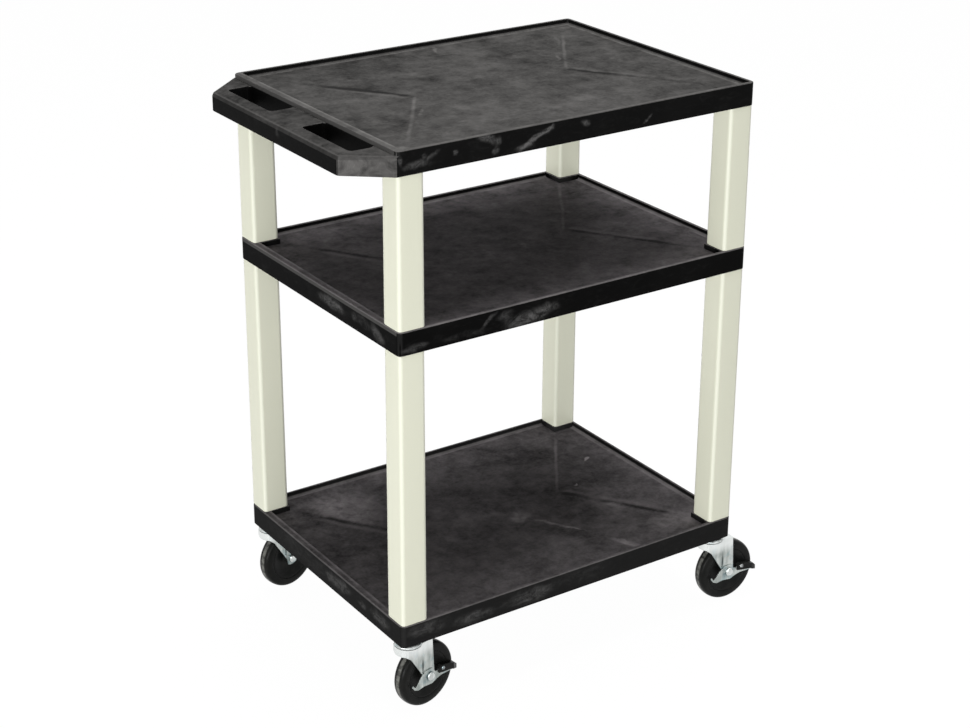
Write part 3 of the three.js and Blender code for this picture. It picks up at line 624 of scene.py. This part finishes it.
def worn(shelf):
    """The rim is wider on the handle's side, and the grip is well rounded."""
    rim_top = underside_of(shelf) + shelf_height
    handle_top = rim_top - handle_drop
    rim_end = half_width - (rim_wall if shelf == "top_shelf" else boss_side) + near_gap
    rim_inside = rim_wall - half_length - near_gap
    rim_foot = -0.28
    rim_bottom = rim_top - rim_depth - level_gap
    grip_inside = -0.3505
    corner_middle = (-0.3571, 0.1746)

    def reshape(place):
        along = place.x - shelf_middle.x
        across = place.y - shelf_middle.y
        on_rim = rim_inside < along < rim_foot and abs(across) < rim_end
        if on_rim and place.z > rim_bottom:
            place.x += rim_growth
        if shelf != "top_shelf":
            return
        drop = handle_top - place.z
        if along < grip_inside and -near_gap < drop < grip_round + near_gap:
            rise = 1 - min(max(drop / grip_round, 0.0), 1.0)
            inset = grip_round * (1 - math.sqrt(max(0.0, 1 - rise * rise)))
            # Inwards is towards the shelf, and at the grip's corners towards their middle.
            inward = Vector((1.0, 0.0))
            if abs(across) > corner_middle[1]:
                across_middle = math.copysign(corner_middle[1], across)
                inward = Vector((corner_middle[0] - along, across_middle - across)).normalized()
            place.x += inward.x * inset * grip_growth
            place.y += inward.y * inset * grip_growth
            place.z -= drop * grip_growth

    return reshape


# How pale each shelf's deck and skirts are. The shelves are one plastic, so these greys, set shelf by
# shelf to how each is lit, are painted light and shade, and the decks' grey is partly a painted sheen.
shelf_greys_as_lit = {
    "top_shelf": (0.043, 0.0052),
    "middle_shelf": (0.092, 0.0034),
    "bottom_shelf": (0.075, 0.013),
}
for shelf, (deck_grey, skirt_grey) in shelf_greys_as_lit.items():
    finish = shelf_finish(shelf, deck_grey, skirt_grey)
    eased(shelf, finish, shelf_round, 3, shelf_softness(shelf), worn(shelf))

# Legs: ivory tubes, moulded with a slight draft and with softly rounded edges. They are pressed on
# to the sockets of the shelves above and below.
leg_round = 0.0008
leg_plastic, shader, place = finish_of(
    "leg_plastic", (0.77, 0.78, 0.64), 0.34, Specular_IOR_Level=0.45)
wave = noise(place.drawn_out(1, 1, 0.3), 9.0)
fine = noise(place, 260.0, 2.0)
facing = place.node("ShaderNodeNewGeometry", {}, output="Normal")
# Painted highlight: the rounded upright edges of the legs are painted paler.
edge = (abs(facing.part("X")) * abs(facing.part("Y"))).above(0.30, 0.18)
ivory = colour_mix(wave, (0.745, 0.752, 0.605), (0.785, 0.792, 0.655))
wired(shader, "Base Color", colour_mix(edge * 0.6, ivory, (0.86, 0.87, 0.75)))
wired(shader, "Roughness", 0.28 + wave * 0.1 + fine * 0.06)
wired(shader, "Normal", bumped(fine + wave * 3.0, 0.08, 0.001))

for node in frame["nodes"]:
    if "leg" in node:
        eased(node, leg_plastic, leg_round)

# Swivels and forks: pressed steel in bright zinc plate, with bluish tints, a painted highlight on the
# forks' crowns, dark patches of painted shade with grease round the axle bolts, and a groove pressed
# into each of a fork's cheeks and painted dark as shade.
plate_round = 0.0005
bolt_round = 0.0004
joints = record["behaviour"]["joints"]
wheel_joints = {joint["child"]: joint for joint in joints if "spin" in joint["name"]}
swivels = {joint["child"]: Vector(joint["pos_m"]) for joint in joints if "swivel" in joint["name"]}
# The shaded grooves and the patches of painted shade with grease lie behind the axles, on the swivels'
# side. Their reach is half of their length that way, across the fork and upwards.
crown_highlight_height = 0.094
shaded_groove_behind = 0.0125
shaded_groove_rise = 0.021
shaded_groove_reach = (0.0019, 0.05, 0.020)
grease_and_shade_behind = 0.004
grease_and_shade_reach = (0.017, 0.05, 0.015)


def zinc_finish(name, dull, bright, on_fork=False):
    """Zinc plate between a dull and a bright colour."""
    material, shader, place = finish_of(name, bright, 0.26, 0.9)
    bloom = noise(place, 60.0, 4.0)
    tint = noise(place, 70.0, 3.0, 0.55, 1.0)
    drawn = noise(place.drawn_out(1.0, 1.0, 0.16), 150.0, 5.0, 0.6)
    fine = noise(place, 700.0, 2.0)
    plate = colour_mix(drawn.above(0.5, 0.16) * 0.6 + bloom.above(0.5, 0.14) * 0.4, dull, bright)
    plate = colour_mix(tint.above(0.60, 0.08) * 0.35, plate, (0.20, 0.34, 0.38))
    if on_fork:
        # Painted highlight: the upper part of each fork, at its crown, is painted brighter.
        crown_highlight = place.part("Z").above(crown_highlight_height, 0.010)
        plate = colour_mix(crown_highlight * 0.7, plate, (0.88, 0.90, 0.89))
        shaded_groove = 0.0
        grease_and_shade = 0.0
        for joint in wheel_joints.values():
            axle = Vector(joint["pos_m"])
            behind = swivels[joint["parent"]] - axle
            behind.z = 0
            heading = math.degrees(math.atan2(behind.y, behind.x))
            behind.normalize()
            shaded_groove_middle = axle + behind * shaded_groove_behind + Vector((0, 0, shaded_groove_rise))
            grease_and_shade_middle = axle + behind * grease_and_shade_behind
            shaded_groove = shaded_groove + patch(place, shaded_groove_middle, shaded_groove_reach, heading)
            grease_and_shade = grease_and_shade + patch(place, grease_and_shade_middle, grease_and_shade_reach, heading)
        # Painted shade, with some grease, in dark patches round the axle bolts where the yoke meets the
        # cheek.
        grease_and_shade = grease_and_shade * tint.above(0.44, 0.10)
        plate = colour_mix(grease_and_shade * 0.8, plate, (0.05, 0.11, 0.13))
        # Painted shade in the grooves of the forks' cheeks.
        plate = colour_mix(shaded_groove * 0.9, plate, (0.03, 0.04, 0.04))
        wired(shader, "Normal", bumped(fine * 0.3 + bloom * 0.3 - shaded_groove * 2.0, 0.3, 0.0005))
    else:
        wired(shader, "Normal", bumped(fine + bloom, 0.08, 0.0004))
    wired(shader, "Base Color", plate)
    wired(shader, "Roughness", 0.2 + bloom * 0.2 + fine * 0.05)
    return material


fork_zinc = zinc_finish("fork_zinc", (0.27, 0.30, 0.285), (0.58, 0.61, 0.59), on_fork=True)
zinc = zinc_finish("zinc_plate", (0.36, 0.38, 0.37), (0.74, 0.77, 0.76))

for node in frame["nodes"]:
    if node.startswith("caster_fork_"):
        eased(node, fork_zinc, plate_round)
    elif node.startswith(("caster_stem_", "raceway_cup_", "stem_socket_", "ball_race_")):
        eased(node, zinc, plate_round)
    elif node.startswith(("axle_nut_", "axle_sleeve_", "axle_bolt_")):
        eased(node, zinc, bolt_round, 3)

# Wheels: a smooth rubber tyre, scuffed, with a rounded shoulder and a pale dusty band round the middle
# of its tread that is mostly a painted highlight, moulded round a dished hub of black plastic. The hub
# turns on a sleeve round the axle bolt.
rubber, shader, place = finish_of("tyre_rubber", (0.008, 0.009, 0.008), 0.35, Specular_IOR_Level=0.07)
scuff = noise(place, 45.0, 5.0, 0.6)
dust_and_highlight_noise = noise(place.drawn_out(1.0, 0.5, 1.0), 160.0, 4.0, 0.6)
tread = place.node("ShaderNodeAttribute", {}, output="Fac", attribute_name="tread")
black = colour_mix(scuff.above(0.5, 0.2), (0.006, 0.0065, 0.006), (0.013, 0.013, 0.012))
# Painted highlight, broken up like dust, on the middle of the tread.
tread_dust_and_highlight = tread * dust_and_highlight_noise.above(0.44, 0.2) * 0.75
wired(shader, "Base Color", colour_mix(tread_dust_and_highlight, black, (0.24, 0.24, 0.22)))
wired(shader, "Roughness", 0.26 + scuff * 0.16)
wired(shader, "Normal", bumped(scuff, 0.08, 0.0005))

black_plastic, shader, place = finish_of(
    "hub_plastic", (0.007, 0.008, 0.007), 0.4, Specular_IOR_Level=0.07)
mould = noise(place, 90.0, 4.0)
moulded = colour_mix(mould.above(0.55, 0.2), (0.007, 0.0075, 0.007), (0.014, 0.014, 0.013))
wired(shader, "Base Color", moulded)
wired(shader, "Roughness", 0.30 + mould * 0.2)
wired(shader, "Normal", bumped(mould, 0.08, 0.0004))

# One side of the tyre's and the hub's sections, as radius and distance from the wheel's middle.
tyre_side = (
    (0.0366, 0.0098), (0.0370, 0.0103), (0.0380, 0.0106), (0.0400, 0.0107), (0.0430, 0.0107),
    (0.0454, 0.0105), (0.0470, 0.0101), (0.0482, 0.0095), (0.0491, 0.0086), (0.0498, 0.0073),
    (0.0503, 0.0057), (0.0506, 0.0040), (0.0508, 0.0020),
)
hub_side = (
    (0.0364, 0.0098), (0.0358, 0.0100), (0.0340, 0.0099), (0.0320, 0.0095), (0.0290, 0.0086),
    (0.0250, 0.0072), (0.0200, 0.0059), (0.0150, 0.0051), (0.0124, 0.0049), (0.0114, 0.0054),
    (0.0110, 0.0068), (0.0109, 0.0112), (0.0106, 0.0115), (0.0057, 0.0115),
)
tread_half_width = 0.003
wheel_steps = 96


def turned(name, profile, centre, axis, node, material):
    """A piece turned about an axis, from places given as radius and distance along the axis."""
    shape = bmesh.new()
    turn = axis.to_track_quat("Z", "Y")
    rings = []
    for step in range(wheel_steps):
        angle = 2 * math.pi * step / wheel_steps
        ring = []
        for radius, along in profile:
            place = Vector((radius * math.cos(angle), radius * math.sin(angle), along))
            ring.append(shape.verts.new(centre + turn @ place))
        rings.append(ring)
    for ring, following in zip(rings, rings[1:] + rings[:1]):
        for i in range(len(profile)):
            j = (i + 1) % len(profile)
            shape.faces.new((ring[i], following[i], following[j], ring[j]))
    bmesh.ops.remove_doubles(shape, verts=shape.verts, dist=0.000001)
    bmesh.ops.dissolve_degenerate(shape, dist=0.000001, edges=shape.edges)
    bmesh.ops.recalc_face_normals(shape, faces=shape.faces)
    mesh = bpy.data.meshes.new(name)
    shape.to_mesh(mesh)
    shape.free()
    mesh.shade_smooth()
    mesh.set_sharp_from_angle(angle=math.radians(42))
    return stand_in(name, mesh, node, material)


for body, joint in wheel_joints.items():
    corner = body.replace("wheel_", "")
    centre = Vector(joint["pos_m"])
    axis = Vector(joint["axis"])
    for kind, side, material in (("tyre", tyre_side, rubber), ("hub", hub_side, black_plastic)):
        profile = [*side, *[(radius, -across) for radius, across in reversed(side)]]
        piece = turned(f"{kind}_{corner}", profile, centre, axis, f"wheel_{kind}_{corner}", material)
        if kind == "tyre":
            tread = piece.data.attributes.new("tread", "FLOAT", "POINT")
            for vertex, share in zip(piece.data.vertices, tread.data):
                off_middle = abs((vertex.co - centre).dot(axis))
                share.value = 1.0 if off_middle < tread_half_width else 0.0

# Foot brakes: a zinc plated yoke, bent from one strip, that rocks on the axle bolt. A pad of black
# plastic for the foot is held on its end by a rivet.
pad_round = 0.0006
rivet_zinc = zinc_finish("rivet_zinc", (0.10, 0.11, 0.11), (0.34, 0.35, 0.35))

for node in frame["nodes"]:
    if node.startswith("brake_lever_"):
        eased(node, fork_zinc, plate_round)
    elif node.startswith("pedal_pad_"):
        eased(node, black_plastic, pad_round, 3)
    elif node.startswith("pad_rivet_"):
        eased(node, rivet_zinc, bolt_round, 3)

boxes = {"cad": cad_bounds, "visual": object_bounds()}
{name: [list(corner) for corner in box] for name, box in boxes.items()}
